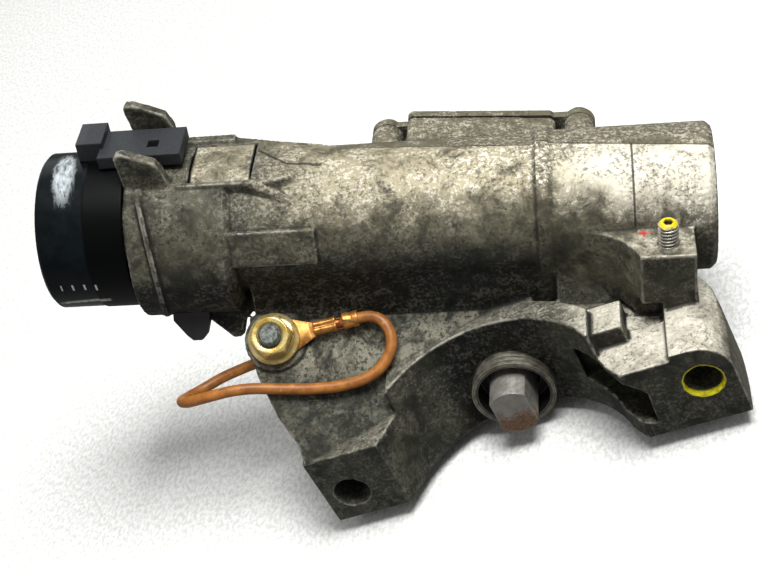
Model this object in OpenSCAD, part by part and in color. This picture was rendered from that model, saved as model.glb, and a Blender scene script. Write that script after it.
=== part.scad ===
// Column ignition lock and switch: cast housing, reader ring, lock barrel,
// key core, cam shaft, steering lock bolt, electrical switch and earth lead.
// Millimetres. X runs along the row of lug holes, -Y leaves the mating plane,
// Z runs along the steering column. The origin is on the mating plane, below
// the lock bolt axis, at the height of the flat base.

/* [Mount] */
// Height of the lock bolt axis above the base
bolt_z = 13.5; // [13.4:0.1:16]
// Radius of the column saddle
saddle_r = 32.2; // [31:0.1:33]
// Distance of the saddle centre in front of the mating plane
saddle_out = 7; // [6:0.1:8]
// Lug hole radius
hole_r = 4.9; // [4:0.1:5.2]
// Left lug hole, along X from the bolt axis
hole_left = 46.2; // [44.5:0.1:47]
// Right lug hole, along X from the bolt axis
hole_right = 52.4; // [50:0.1:53]
// Thickness of the lugs from the mating plane
lug_deep = 29; // [26:0.5:31]

/* [Tube] */
// Tilt of the tube against the lug row, in degrees
tilt = 18.1; // [17:0.1:19]
// Distance from the mating plane to the tube axis
tube_y = 47.5; // [47:0.1:49]
// Distance from the bolt axis up to the tube axis
drop = 42.6; // [42:0.1:44]
// Radius of the middle of the tube
tube_r = 18.6; // [18.4:0.1:19]
// Radius of the switch end of the tube
end_r = 19.2; // [19.1:0.1:19.6]
// Length of the tube on the switch side
end_x = 54.2; // [53:0.1:58]
// Length of the tube on the key side
key_x = 97.5; // [96.5:0.1:98]

/* [Reader ring] */
// Outer radius of the reader ring
ring_r = 21; // [20.6:0.1:22]
// Length of the reader ring in front of the tube
ring_len = 23.5; // [20:0.1:25]

/* [Lock] */
// Outer radius of the lock barrel
barrel_r = 14; // [13.2:0.1:14.4]
// Radius of the turning core
core_r = 8.5; // [8:0.1:8.8]
// Radius of the cam shaft
shaft_r = 5; // [4.6:0.1:5.2]
// Width of the key slot
slot_w = 2.6; // [2.2:0.1:3]

/* [Steering lock] */
// Travel of the lock bolt
travel = 7; // [6:0.1:7]
// Radius of the lock bolt
bolt_r = 7; // [6.6:0.1:7.2]
// Width of the lock bolt across its flats
bolt_flats = 10; // [9:0.1:10.6]
// Length of the lock bolt out of the guide sleeve
bolt_out = 7; // [6:0.1:8]
// Outer radius of the guide sleeve
sleeve_r = 11.3; // [10.8:0.1:11.5]
// Length of the guide sleeve out of the saddle
sleeve_out = 4.8; // [4:0.1:5.5]

/* [Fasteners] */
// Radius of the earth stud thread
stud_r = 3; // [2.5:0.1:3]
// Radius of the earth nut's flange
flange_r = 7; // [6.4:0.1:7.1]
// Radius of the grub screw
grub_r = 2.6; // [2:0.1:3]
// Length of the grub screw above its block
grub_out = 6.2; // [4:0.1:8]
// Radius of the earth wire
wire_r = 1.5; // [1.2:0.1:1.6]

/* [Fits] */
// Radial running clearance of turning and sliding round parts
run_fit = 0.05; // [0.02:0.01:0.1]
// Clearance round moving parts that do not guide each other
free_gap = 0.35; // [0.3:0.01:0.5]
// Gap between fixed parts that drop into each other
seat_gap = 0.02; // [0.01:0.01:0.05]

/* [Hidden] */
$fn = 64;

tube_x0 = drop * sin(tilt);
tube_z0 = bolt_z + drop * cos(tilt);
lug_low = bolt_z - 8.9;
apex_y = saddle_r - saddle_out;
mouth_y = apex_y - sleeve_out;
tip_y = mouth_y - bolt_out;
// front face of the bolt carrier, behind the tube's axis by this much, and rear end of the sleeve
carrier_y = -14.9;
sleeve_back = tube_y + carrier_y - free_gap;
// inclined pad of the earth stud: outward normal and offset in the tube frame
pad_tilt = 38.5;
pad_c = -6;
// position of the earth stud on the pad: along the tube, and up the slope
stud_x = -62.6;
stud_s = -32;
// cam: involute with a linear lift
lift = travel / (PI / 2);
cam_h0 = shaft_r + 0.6;
box_back = 22;
// the box along the tube ends this far below the cover, and the cover's arm sits this far above it
box_step = 0.4;
arm_step = 0.15;
// thickness of the back cover
cover_t = 2.4;
// rounding of the right lug's outer corner, and where its raised boss begins
boss_r = 9;
boss_left = 46.8;
// cover screws: stations along the tube and height above its axis
post_x = [-31, 20.7];
post_z = 8.8;
// side of the block behind the tube: stations along it and heights
block_side = [[-25, -30], [-25, 14.2], [-23.8, 15.2], [13.2, 12.7], [14.5, 11.6], [14.5, -30]];
// side plug: station along the tube
plug_x = -key_x + 12.5;
// stations along the tube
barrel_end = -40;
cam_x = 6.4;
plate_x = 3;
rotor_x0 = 23;
rotor_x1 = 35;

module on_tube() { translate([tube_x0, tube_y, tube_z0]) rotate([0, tilt, 0]) children(); }
module xcyl(r, x0, x1) { translate([x0, 0, 0]) rotate([0, 90, 0]) cylinder(r = r, h = x1 - x0); }
module xcone(ra, rb, x0, x1) {
    translate([x0, 0, 0]) rotate([0, 90, 0]) cylinder(r1 = ra, r2 = rb, h = x1 - x0);
}
module ycyl(r, y0, y1) { translate([0, y0, 0]) rotate([-90, 0, 0]) cylinder(r = r, h = y1 - y0); }
module box3(a, b) { translate(a) cube([b[0] - a[0], b[1] - a[1], b[2] - a[2]]); }
// a plate in the tube's x-z plane, from y0 to y1
module xz_plate(pts, y0, y1) {
    translate([0, y1, 0]) rotate([90, 0, 0]) linear_extrude(y1 - y0) polygon(pts);
}
// a prism along the tube, from x0 to x1, of a profile in y-z
module yz_prism(pts, x0, x1) {
    translate([x0, 0, 0]) rotate([90, 0, 90]) linear_extrude(x1 - x0) polygon(pts);
}
// frame of the inclined pad: x along the tube, y up the slope, z outwards
module on_pad() {
    on_tube() rotate([pad_tilt, 0, 0]) translate([0, 0, pad_c]) children();
}

module tube_skin() {
    xcone(20.1, 20.7, -key_x, -key_x + 1);
    xcyl(20.7, -key_x + 1, -key_x + 5.1);
    xcyl(19.9, -key_x + 5.1, -key_x + 6.3);
    xcyl(20.3, -key_x + 6.3, -71);
    xcone(20.3, tube_r, -71, -69.4);
    xcyl(tube_r, -69.4, 9.3);
    xcyl(end_r + 0.9, 9.3, 12.8);
    xcyl(end_r, 12.8, end_x - 1.6);
    xcone(end_r, end_r - 1.4, end_x - 1.6, end_x);
}

module ears() {
    // fork of two ears that holds the reader ring's latch
    translate([-key_x, 0, 0]) {
        xz_plate([[0.3, 12], [0.3, 20.4], [-0.5, 28.2], [0.6, 29.4], [2.2, 29.4], [9.9, 26.2],
            [11.2, 24.1], [13.1, 17.4], [13.1, 12]], -8.8, -6);
        xz_plate([[0.3, 12], [0.3, 21.6], [-1.3, 30], [-0.5, 31.2], [1.7, 31.2], [9.7, 27.6],
            [11.3, 23.6], [11.9, 12]], 11.2, 14);
    }
}

module platform() {
    // flat table on top of the tube with a rail behind it
    translate([0, 0, 15.6]) linear_extrude(3.4) polygon([[-86, -9.2], [-62, -9.2],
        [-57, -8.6], [-52, -6.4], [-46, 0], [-46, 3.6], [-59, 9.2], [-71, 12.3], [-86, 12.3]]);
    translate([0, 0, 8]) linear_extrude(10.8) polygon([[-86, -4], [-64, -4], [-47, 2],
        [-47, 3.4], [-59, 9], [-71, 12.1], [-86, 12.1]]);
    hull() {
        box3([-66, -9.2, 15.8], [-62, -2, 19]);
        box3([-53, -12.6, 13.2], [-52, -11, 14]);
    }
    box3([-83, 9.6, 14], [-70, 12.4, 19.8]);
    xz_plate([[-71, 12], [-71, 18.4], [-58, 16.4], [-46, 14.4], [-46, 12]], 9.4, 12.6);
    // parting line
    box3([-46, -0.4, tube_r - 1], [10, 0.4, tube_r + 0.25]);
    box3([12, -0.4, end_r - 1], [end_x - 2, 0.4, end_r + 0.25]);
}

module key_flare() {
    // collar of the key end, deeper below than above, with a slanted bead round it
    slant = 16.2;
    translate([0, -1.5, -3.6]) {
        xcyl(20.6, -key_x + 0.4, -72);
        xcone(20.6, tube_r - 0.6, -72, -69.8);
    }
    intersection() {
        translate([-key_x + 0.8, 0, 0]) rotate([0, 0, slant]) xcyl(40, -0.7, 0.7);
        union() {
            translate([0, -1.5, -2.8]) xcyl(21.7, -key_x, -key_x + 21.5);
            translate([0, -2.2, -1.2]) xcyl(21.2, -key_x, -key_x + 21.5);
        }
    }
}

module hook() {
    // fin under the tube, beside the earth pad
    rotate([-30, 0, 0]) xz_plate([[-84, -12], [-84, -23.4], [-74.6, -31.4], [-72.4, -31.2],
        [-71.4, -27], [-69, -24.6], [-60, -23.4], [-60, -12]], -2.4, 2.4);
}

module saddle_body() {
    // arch and both lugs, drawn square to the column axis
    translate([0, 0, lug_low]) linear_extrude(23.1) polygon([[-54.2, 0], [-54.2, 20],
        [-46, 31], [-30, 36], [30, 40], [boss_left + 1, lug_deep], [boss_left + 1, 0],
        [33.6, 0], [29.6, 5.2], [-29.6, 5.2], [-32.8, 0]]);
    intersection() {
        linear_extrude(100) polygon([[43, 0], [60.8, 0], [60.7, 9], [60.4, 15], [59.9, 20.6],
            [58.7, lug_deep - 3.8], [56.4, lug_deep - 1], [53, lug_deep], [43, lug_deep]]);
        translate([0, lug_deep, lug_low]) rotate([90, 0, 0]) linear_extrude(lug_deep)
        polygon(concat([[boss_left, 0], [60.8, 0]],
            [for (a = [0 : 15 : 90]) [60.8 - boss_r + boss_r * cos(a), 24.9 - boss_r + boss_r * sin(a)]],
            [[boss_left, 24.9]]));
    }
    // raised rim along the near edge of the saddle
    translate([0, -saddle_out, lug_low]) linear_extrude(30.7) intersection() {
        circle(r = saddle_r + 7);
        translate([-27.5, saddle_r * 0.5]) square([56, 40]);
    }
    // stops at both ends of the rim
    box3([27, 11.8, lug_low + 21.1], [36.8, 22, lug_low + 28.4]);
    box3([-36.8, 13.6, lug_low + 21.1], [-26, 24, lug_low + 25.4]);
    // boss round the guide sleeve
    translate([0, 0, bolt_z]) ycyl(13.4, apex_y + 1.6, 40);
}

module web() {
    // sloping web with the earth pad, down to the left lug
    on_pad() translate([0, 0, -9]) linear_extrude(9) polygon([[-69.6, -25], [-70, -33],
        [-67.4, -42], [-62, -53], [-57, -60], [-55.4, -65.2], [-36, -65.2], [-26, -50],
        [-16, -38], [-6, -27], [-6, -25]]);
    on_pad() translate([stud_x, stud_s, 0]) cylinder(r = 8.4, h = 0.8);
    // fill between the tube and the saddle rim
    on_tube() yz_prism([[-17, -7], [-16.7, -13], [-16.7, -20], [-17.4, -23], [-16, -44], [8, -40],
        [10, -8]], -42, 16);
    on_tube() yz_prism([[-16.8, -8], [-15.4, -13], [-15.6, -18], [-17.6, -21.8], [-10, -30],
        [5, -18]], -68, -41);
    // gusset from the tube to the grub screw block
    on_tube() translate([0, 0, -16]) linear_extrude(20.4)
        polygon([[17, -14], [19, -18], [25, -19.6], [29.6, -22.4], [32.8, -26.2], [34.6, -30.4],
            [36, -12]]);
    on_tube() yz_prism([[-18, -4], [-18.8, -11], [-21.6, -17], [-26, -21.4], [-15, -28], [8, -22],
        [10, -8]], 13, 35);
    on_tube() yz_prism([[-16.6, -4], [-25, -12], [-30, -16], [-16, -20], [8, -14], [10, -8]],
        34.4, 47.6);
}

module mech_box() {
    // closed box behind the saddle that carries the bolt carrier
    box3([-27, 33, 0], [25, tube_y + box_back, 44]);
    on_tube() xz_plate(block_side, -4, box_back - box_step);
    on_tube() for (x = post_x) translate([x, 0, post_z]) ycyl(4.3, 4, box_back + arm_step);
}

module housing() {
    color([0.55, 0.55, 0.54]) difference() {
        union() {
            on_tube() {
                tube_skin();
                ears();
                platform();
                rotate([-13, 0, 0]) box3([-72, -tube_r - 0.7, -5], [-47.6, -10, 5]);
                // grub screw block
                box3([34.2, -30.4, -16], [48, -8, 4.6]);
                key_flare();
                hook();
            }
            saddle_body();
            web();
            mech_box();
        }
        // column saddle
        translate([0, -saddle_out, lug_low - 20]) cylinder(r = saddle_r, h = 80, $fn = 128);
        // lug holes
        translate([-hole_left, 0, bolt_z + 0.2]) ycyl(hole_r, -1, 60);
        translate([hole_right, 0, bolt_z + 5.2]) ycyl(hole_r, -1, 36);
        // relief pocket between the saddle and the right lug
        translate([0, 21, lug_low]) rotate([90, 0, 0]) linear_extrude(22) polygon([[21, 10.1],
            [21.4, 21.1], [31, 21.3], [35, 18.9], [38.2, 15], [37.6, 4.2], [33, 6.6], [28, 8.2]]);
        on_tube() box3([29.6, -32, -17.6], [39.6, -26, -10.4]);
        // seat of the guide sleeve and bore of the bolt
        translate([0, 0, bolt_z]) ycyl(sleeve_r + seat_gap, -1, sleeve_back);
        translate([0, 0, bolt_z]) ycyl(bolt_r + run_fit, 0, tube_y - 0.4);
        on_tube() {
            xcyl(barrel_r + seat_gap, -key_x - 1, barrel_end);
            xcyl(shaft_r + run_fit, -60, 30);
            xcyl(14.6, -cam_x - free_gap, cam_x + free_gap);
            xcyl(16.2 + seat_gap, 18, end_x + 1);
            // room of the bolt carrier
            box3([-plate_x - free_gap, carrier_y - 0.3, -50.4], [plate_x + free_gap, box_back + 1, 10.4]);
            box3([-12, -2, -50], [10, box_back + 1, -24]);
            // seat of the catch insert
            box3([-80.4, -7.6, 17], [-63.8, 8.2, 30]);
            // grub screw thread
            translate([41.4, -24.6, -4]) cylinder(r = grub_r + seat_gap, h = 20);
            // socket of the side plug
            rotate([-30, 0, 0]) translate([plug_x, 0, 0])
                box3([-5 - seat_gap, -6 - seat_gap, -40], [5 + seat_gap, -3 + seat_gap, -18 + seat_gap]);
            // cover screw holes
            for (x = post_x) translate([x, 0, post_z]) ycyl(1.6 + seat_gap, 15, 40);
            // fine step line round the switch end
            difference() {
                xcyl(end_r + 0.8, 33.4, 33.9);
                xcyl(end_r - 0.3, 33, 34.3);
            }
        }
        on_pad() translate([stud_x, stud_s, -6]) cylinder(r = stud_r + seat_gap, h = 20);
    }
}

module catch_insert() {
    color([0.5, 0.5, 0.5]) on_tube()
        yz_prism([[-7.2, 17], [-7.2, 17.9], [-3.8, 19.2], [7.8, 19.2], [7.8, 17]], -80, -64.2);
}

module reader_ring() {
    x0 = -key_x - ring_len;
    color([0.07, 0.07, 0.08]) on_tube() difference() {
        union() {
            xcone(ring_r - 0.8, ring_r, x0, x0 + 0.8);
            xcyl(ring_r, x0 + 0.8, x0 + 13);
            xcyl(ring_r + 0.3, x0 + 13, -key_x);
            // socket for the reader plug and the latch bar
            translate([-key_x, 0, 0]) {
                box3([-12.7, 0.9, 12], [-5.7, 10.6, 27]);
                box3([-6.5, -3.3, 21.8], [15.6, 9, 25.2]);
            }
        }
        xcyl(barrel_r + seat_gap, x0 + 6, -key_x + 1);
        xcone(15.6, 12.6, x0 - 0.01, x0 + 6.01);
        // channel of the winding
        difference() {
            xcyl(19 + seat_gap, x0 + 3, x0 + 10);
            xcyl(17 - seat_gap, x0 + 2, x0 + 11);
        }
        // window in the latch bar and mouth of the plug socket
        translate([-key_x, 0, 0]) {
            box3([6.2, 0.6, 20], [9.2, 3.6, 30]);
            box3([-11.7, 3, 20.5], [-7.3, 11, 25.4]);
        }
    }
}

module reader_coil() {
    x0 = -key_x - ring_len;
    color([0.7, 0.4, 0.2]) on_tube() difference() {
        xcyl(19, x0 + 3, x0 + 10);
        xcyl(17, x0 + 2, x0 + 11);
    }
}

module lock_barrel() {
    x0 = -key_x - ring_len;
    color([0.62, 0.6, 0.55]) on_tube() difference() {
        union() {
            xcyl(barrel_r, x0 + 6, barrel_end);
        }
        xcyl(core_r + run_fit, x0, barrel_end - 4);
        xcyl(core_r + 1.6, -52, -50);
        xcyl(shaft_r + 0.8, -70, 0);
    }
}

module lock_core() {
    x0 = -key_x - ring_len;
    color([0.66, 0.64, 0.6]) on_tube() difference() {
        xcyl(core_r, x0 + 6, -48.6);
        // key slot
        box3([x0, -slot_w / 2, -4.6], [-56, slot_w / 2, 4.6]);
        // wafer slots
        for (i = [0 : 6]) translate([-108 + 6.4 * i, 0, 0])
            box3([-0.8, -3, -7.4], [0.8, 3, 7.4]);
        // seat of the shutter
        box3([x0 + 6.8, -2.6, -5], [x0 + 12, 2.6, 5]);
        // socket of the cam shaft's tongue
        box3([-54, -1.6 - seat_gap, -4.4], [-48, 1.6 + seat_gap, 4.4]);
        // groove of the clip
        difference() {
            xcyl(core_r + 1, -51.6, -50.4);
            xcyl(core_r - 1, -52, -50);
        }
    }
}

module key_shutter() {
    x0 = -key_x - ring_len;
    color([0.8, 0.8, 0.8]) on_tube() {
        box3([x0 + 7.2, -1.8, -4.6], [x0 + 7.8, 2, 4.6]);
        translate([x0 + 7.5, -1.8, -4.8]) cylinder(r = 0.5, h = 9.6);
    }
}

module wafers() {
    color([0.75, 0.62, 0.3]) on_tube() for (i = [0 : 6]) translate([-108 + 6.4 * i, 0, 0])
        difference() {
            box3([-0.78, -2.98, -7.38], [0.78, 2.98, 7.38]);
            box3([-2, -slot_w / 2, -4], [2, slot_w / 2, 4.2 - 0.4 * (i % 3)]);
        }
}

module core_clip() {
    color([0.4, 0.4, 0.4]) on_tube() difference() {
        xcyl(core_r + 1.2, -51.58, -50.42);
        xcyl(core_r - 1 + seat_gap, -52, -50);
        box3([-53, -3, 0], [-49, 3, 12]);
    }
}

function cam_point(a) = [(cam_h0 + lift * a * PI / 180) * cos(a) - lift * sin(a),
    -(cam_h0 + lift * a * PI / 180) * sin(a) - lift * cos(a)];

module cam_shaft() {
    color([0.7, 0.7, 0.7]) on_tube() {
        xcyl(shaft_r, -48.6, 20);
        box3([-54, -1.6, -4.2], [-48, 1.6, 4.2]);
        box3([19, -3, -3], [31, 3, 3]);
        yz_prism(concat([for (a = [-6 : 4 : 94]) cam_point(a)],
            [for (a = [200 : -20 : 0]) (shaft_r - 0.5) * [cos(a), sin(a)]]), -cam_x, cam_x);
    }
}

module bolt_carrier() {
    // plate with a window round the cam; its rear edge follows the cam
    face = cam_h0 + 0.06;
    color([0.6, 0.6, 0.58]) on_tube() difference() {
        yz_prism([[carrier_y, -47.4], [face + 4, -47.4], [face + 4, 9.6], [carrier_y, 9.6]],
            -plate_x, plate_x);
        yz_prism([[-12.7, -15.4], [face + 0.6, -15.4], [face + 0.6, -9], [face, -8.4],
            [face, -1], [face + 0.6, -0.4], [face + 0.6, shaft_r + 1], [-12.7, shaft_r + 1]],
            -20, 20);
    }
}

module lock_bolt() {
    color([0.5, 0.47, 0.44]) difference() {
        translate([0, 0, bolt_z]) intersection() {
            ycyl(bolt_r, tip_y, tube_y - 8);
            box3([-bolt_flats / 2, tip_y - 1, -20], [bolt_flats / 2, tube_y, 20]);
        }
        on_tube() box3([-plate_x - seat_gap, carrier_y - seat_gap, -60],
            [plate_x + seat_gap, 10, -20]);
    }
}

module coil(r, wire, turns, length, fn = 10) {
    // open coil from z = 0 to length, drawn as a sweep along a helix
    steps = turns * 14;
    pitch = (length - 2 * wire) / turns;
    rings = [for (i = [0 : steps]) let (a = 360 * i / 14, zc = wire + pitch * i / 14)
        [for (j = [0 : fn - 1]) let (b = 360 * j / fn)
            [(r + wire * cos(b)) * cos(a), (r + wire * cos(b)) * sin(a), zc + wire * sin(b)]]];
    tube_mesh(rings, fn);
}

module tube_mesh(rings, fn) {
    // closes a row of rings into one solid
    last = len(rings) - 1;
    polyhedron([for (ring = rings) each ring], concat(
        [[for (j = [0 : fn - 1]) j]],
        [for (i = [0 : last - 1], j = [0 : fn - 1])
            [i * fn + j, (i + 1) * fn + j, (i + 1) * fn + (j + 1) % fn, i * fn + (j + 1) % fn]],
        [[for (j = [fn - 1 : -1 : 0]) last * fn + j]]), convexity = 8);
}

module bolt_spring() {
    // between the carrier and the back cover, on the bolt's axis
    y0 = tube_y + cam_h0 + 4.06 + seat_gap;
    color([0.7, 0.7, 0.72]) translate([0, y0, bolt_z]) rotate([-90, 0, 0])
        coil(3.9, 0.55, 4, tube_y + box_back - y0 - seat_gap);
}

module guide_sleeve() {
    color([0.45, 0.45, 0.45]) translate([0, 0, bolt_z]) difference() {
        union() {
            ycyl(sleeve_r, mouth_y, sleeve_back - seat_gap);
        }
        ycyl(sleeve_r - 1.6, mouth_y - 1, mouth_y + 0.62 * (sleeve_back - mouth_y));
        ycyl(bolt_r + run_fit, mouth_y, sleeve_back + 3);
        // turned lines round the outside
        for (y = [mouth_y + 1.2, mouth_y + 2.8]) difference() {
            ycyl(sleeve_r + 1, y, y + 0.4);
            ycyl(sleeve_r - 0.3, y - 1, y + 1.4);
        }
    }
}

module back_cover() {
    y0 = box_back + seat_gap;
    y1 = y0 + arm_step;
    color([0.52, 0.52, 0.5]) difference() {
        union() {
            translate([0, tube_y, 0]) box3([-27, y0, 0.8], [25, y0 + cover_t, 44]);
            on_tube() xz_plate(block_side, y1, y1 + cover_t);
            on_tube() for (x = post_x) translate([x, 0, post_z]) ycyl(4.3, y1, y1 + cover_t);
            on_tube() box3([-31, y1, 4.5], [20.7, y1 + cover_t, 12]);
        }
        on_tube() for (x = post_x) translate([x, 0, post_z]) ycyl(1.6 + seat_gap, 12, 40);
    }
}

module cover_screws() {
    y1 = box_back + arm_step + cover_t + 2 * seat_gap;
    color([0.7, 0.7, 0.7]) on_tube() for (x = post_x) translate([x, 0, post_z]) difference() {
        union() {
            ycyl(1.6, 15.2, y1 + 0.5);
            ycyl(3.1, y1, y1 + 2);
        }
        box3([-2, y1 + 1, -0.4], [2, y1 + 3, 0.4]);
        box3([-0.4, y1 + 1, -2], [0.4, y1 + 3, 2]);
    }
}

// switch: six blades on a circle
blade_angles = [0, 60, 120, 180, 240, 300];

module switch_body() {
    color([0.1, 0.1, 0.11]) on_tube() difference() {
        union() {
            xcyl(16.2, 18.02, end_x - 0.8);
        }
        xcyl(shaft_r + free_gap, 17, 24);
        xcyl(9 + run_fit, rotor_x0 - 0.3, 38.4);
        xcyl(12.6, 42, end_x + 1);
        for (a = blade_angles) rotate([a, 0, 0])
            box3([30, -2.4 - seat_gap, 6.2 - seat_gap], [50, 2.4 + seat_gap, 7 + seat_gap]);
        // pocket of the detent
        translate([28, 0, 0]) cylinder(r = 1.6, h = 14.4);
        // key way of the plug
        box3([44, -2, 11], [end_x + 1, 2, 14.4]);
    }
}

module switch_rotor() {
    color([0.75, 0.72, 0.62]) on_tube() difference() {
        xcyl(9, rotor_x0, rotor_x1);
        box3([rotor_x0 - 1, -3.02, -3.02], [31.1, 3.02, 3.02]);
        xcyl(2.3, 32, rotor_x1 + 1);
    }
}

module contact_bridge() {
    color([0.75, 0.5, 0.25]) on_tube() difference() {
        union() {
            box3([rotor_x1 + seat_gap, -2.2, -8.4], [rotor_x1 + 0.8, 2.2, 8.4]);
            xcyl(1.2, rotor_x1 - 1.4, rotor_x1 + 0.6);
        }
    }
}

module contact_spring() {
    color([0.7, 0.7, 0.72]) on_tube() translate([32.02, 0, 0]) rotate([0, 90, 0])
        coil(1.8, 0.25, 4, rotor_x1 - 32.02, 8);
}

module terminals() {
    color([0.72, 0.55, 0.3]) on_tube() for (a = blade_angles) rotate([a, 0, 0])
        box3([rotor_x1 + 1.2, -2.4, 6.2], [end_x - 2.4, 2.4, 7]);
}

module detent_ball() {
    color([0.8, 0.8, 0.82]) on_tube() translate([28, 0, 9 + run_fit + 1.5]) sphere(r = 1.5);
}

module detent_spring() {
    z0 = 9 + run_fit + 3;
    color([0.7, 0.7, 0.72]) on_tube() translate([28, 0, z0]) coil(1.2, 0.2, 3, 14.38 - z0, 8);
}

module threaded(r, z0, z1, pitch) {
    // rod with turned rings in place of a thread, point at z1
    n = floor((z1 - z0 - 1) / pitch);
    rotate_extrude() polygon(concat([[0, z0]], [[r - 0.3, z0]],
        [for (i = [0 : n - 1]) each [[r - 0.3, z0 + pitch * (i + 0.1)],
            [r, z0 + pitch * (i + 0.45)], [r, z0 + pitch * (i + 0.6)],
            [r - 0.3, z0 + pitch * (i + 0.95)]]],
        [[r - 0.3, z1 - 0.5], [r - 0.8, z1], [0, z1]]));
}

module grub_screw() {
    color([0.6, 0.58, 0.5]) on_tube() translate([41.4, -24.6, 0]) difference() {
        threaded(grub_r, -3.9, 4.6 + grub_out, 1);
        translate([0, 0, 4.6 + grub_out - 1.6]) cylinder(r = 1.3, h = 4, $fn = 6);
    }
}

module earth_stud() {
    color([0.45, 0.44, 0.4]) on_pad() translate([stud_x, stud_s, 0]) threaded(stud_r, -5.9, 9.4, 1);
}

module earth_nut() {
    color([0.8, 0.65, 0.25]) on_pad() translate([stud_x, stud_s, 1.82]) difference() {
        union() {
            cylinder(r = flange_r, h = 0.9);
            translate([0, 0, 0.9]) cylinder(r1 = flange_r, r2 = 5.6, h = 1.1);
            intersection() {
                rotate([0, 0, 12]) cylinder(r = 5.77, h = 6, $fn = 6);
                union() {
                    cylinder(r = 6, h = 5.2);
                    translate([0, 0, 5.2]) cylinder(r1 = 6, r2 = 4.8, h = 0.8);
                }
            }
        }
        translate([0, 0, -1]) cylinder(r = stud_r + seat_gap, h = 9);
    }
}

module ring_terminal() {
    color([0.75, 0.42, 0.22]) on_pad() translate([stud_x, stud_s, 0.8]) difference() {
        union() {
            translate([0, 0, seat_gap]) cylinder(r = 6.2, h = 1 - seat_gap);
            rotate([0, 0, 11]) {
                translate([0, 0, seat_gap]) linear_extrude(1 - seat_gap)
                    polygon([[4, -5], [11, -2.2], [24, -1.6], [24, 1.6], [11, 2.2], [4, 5]]);
                // conductor crimp and insulation crimp
                translate([11.4, 0, 2]) rotate([0, 90, 0]) cylinder(r = 1.9, h = 5.8);
                translate([19.4, 0, 2]) rotate([0, 90, 0]) cylinder(r = wire_r + 0.7, h = 4);
            }
        }
        translate([0, 0, -1]) cylinder(r = stud_r + seat_gap, h = 4);
        rotate([0, 0, 11]) translate([15, 0, 2]) rotate([0, 90, 0])
            cylinder(r = wire_r + seat_gap, h = 20);
    }
}

// route of the earth wire in the pad's frame: along the tube, up the slope, height
wire_route = [[-46.9, -28.95, 2.8], [-43.16, -28.22, 2.8], [-39.43, -27.5, 2.8], [-36.2, -27.3, 3],
    [-33.2, -28.7, 3.4], [-31.1, -32.2, 3.5], [-31.2, -36.6, 3.4], [-33.8, -41, 3.2],
    [-38, -43.8, 3], [-44.8, -45.4, 2.6], [-52.8, -45.8, 2.2], [-60.8, -45.5, 2.2],
    [-68.9, -45.2, 2.6], [-75, -45.8, 2.8], [-81.6, -47, 1.8], [-86.6, -47.6, -0.6],
    [-89.4, -46.8, -4.4], [-88.6, -45, -8.6], [-85.4, -42.6, -11.4], [-80.4, -39.6, -12.6],
    [-75, -37.4, -12.6], [-70.8, -36, -12.4], [-66, -34.8, -12.4]];

function curve_point(p, i, t) = let (a = p[max(i - 1, 0)], b = p[i], c = p[i + 1],
        d = p[min(i + 2, len(p) - 1)])
    0.5 * (2 * b + (c - a) * t + (2 * a - 5 * b + 4 * c - d) * t * t
        + (3 * b - a - 3 * c + d) * t * t * t);
function unit(v) = v / norm(v);
// carries a normal along a path without twisting it
function carried(path, i) = i == 0 ? unit(cross(path[1] - path[0], [0.1, 0.2, 1]))
    : let (t = unit(path[i] - path[i - 1]), n = carried(path, i - 1)) unit(n - (n * t) * t);

module earth_wire() {
    fn = 12;
    path = concat([for (i = [0 : len(wire_route) - 2], k = [0 : 2]) curve_point(wire_route, i, k / 3)],
        [wire_route[len(wire_route) - 1]]);
    last = len(path) - 1;
    rings = [for (i = [0 : last]) let (t = unit(path[min(i + 1, last)] - path[max(i - 1, 0)]),
            n0 = carried(path, i), n = unit(n0 - (n0 * t) * t), m = cross(t, n))
        [for (j = [0 : fn - 1]) path[i] + wire_r * (n * cos(360 * j / fn) + m * sin(360 * j / fn))]];
    color([0.62, 0.36, 0.18]) on_pad() tube_mesh(rings, fn);
}

module wire_socket() {
    // plain push-on socket on the far end, held under the web
    color([0.12, 0.12, 0.12]) on_pad() translate([-68, -35.2, -12.4]) rotate([0, 0, 14]) difference() {
        box3([0, -3.4, -2.4], [15, 3.4, 3.38]);
        translate([-1, 0, 0]) rotate([0, 90, 0]) cylinder(r = wire_r + 0.3, h = 4);
        box3([8, -2.4, -0.6], [16, 2.4, 0.6]);
    }
}

module side_plug() {
    // moulded plug in the interlock cable socket under the key end
    color([0.07, 0.07, 0.08]) on_tube() rotate([-30, 0, 0]) translate([plug_x, 0, 0])
        xz_plate([[-5, -18], [-5, -25.4], [-1.6, -29.6], [0, -31], [2.4, -31], [3.8, -29.4],
            [5, -25], [5, -18]], -6, -3);
}

side_plug();
housing();
catch_insert();
reader_ring();
reader_coil();
lock_barrel();
lock_core();
key_shutter();
wafers();
core_clip();
cam_shaft();
bolt_carrier();
lock_bolt();
bolt_spring();
guide_sleeve();
back_cover();
cover_screws();
switch_body();
switch_rotor();
contact_bridge();
contact_spring();
terminals();
detent_ball();
detent_spring();
grub_screw();
earth_stud();
earth_nut();
ring_terminal();
earth_wire();
wire_socket();
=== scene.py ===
"""Looks of a column ignition lock and switch: aged die casting, plastics, worn steel and an earth lead."""

import math

import bpy
import numpy as np
from mathutils import Matrix, Vector


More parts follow.
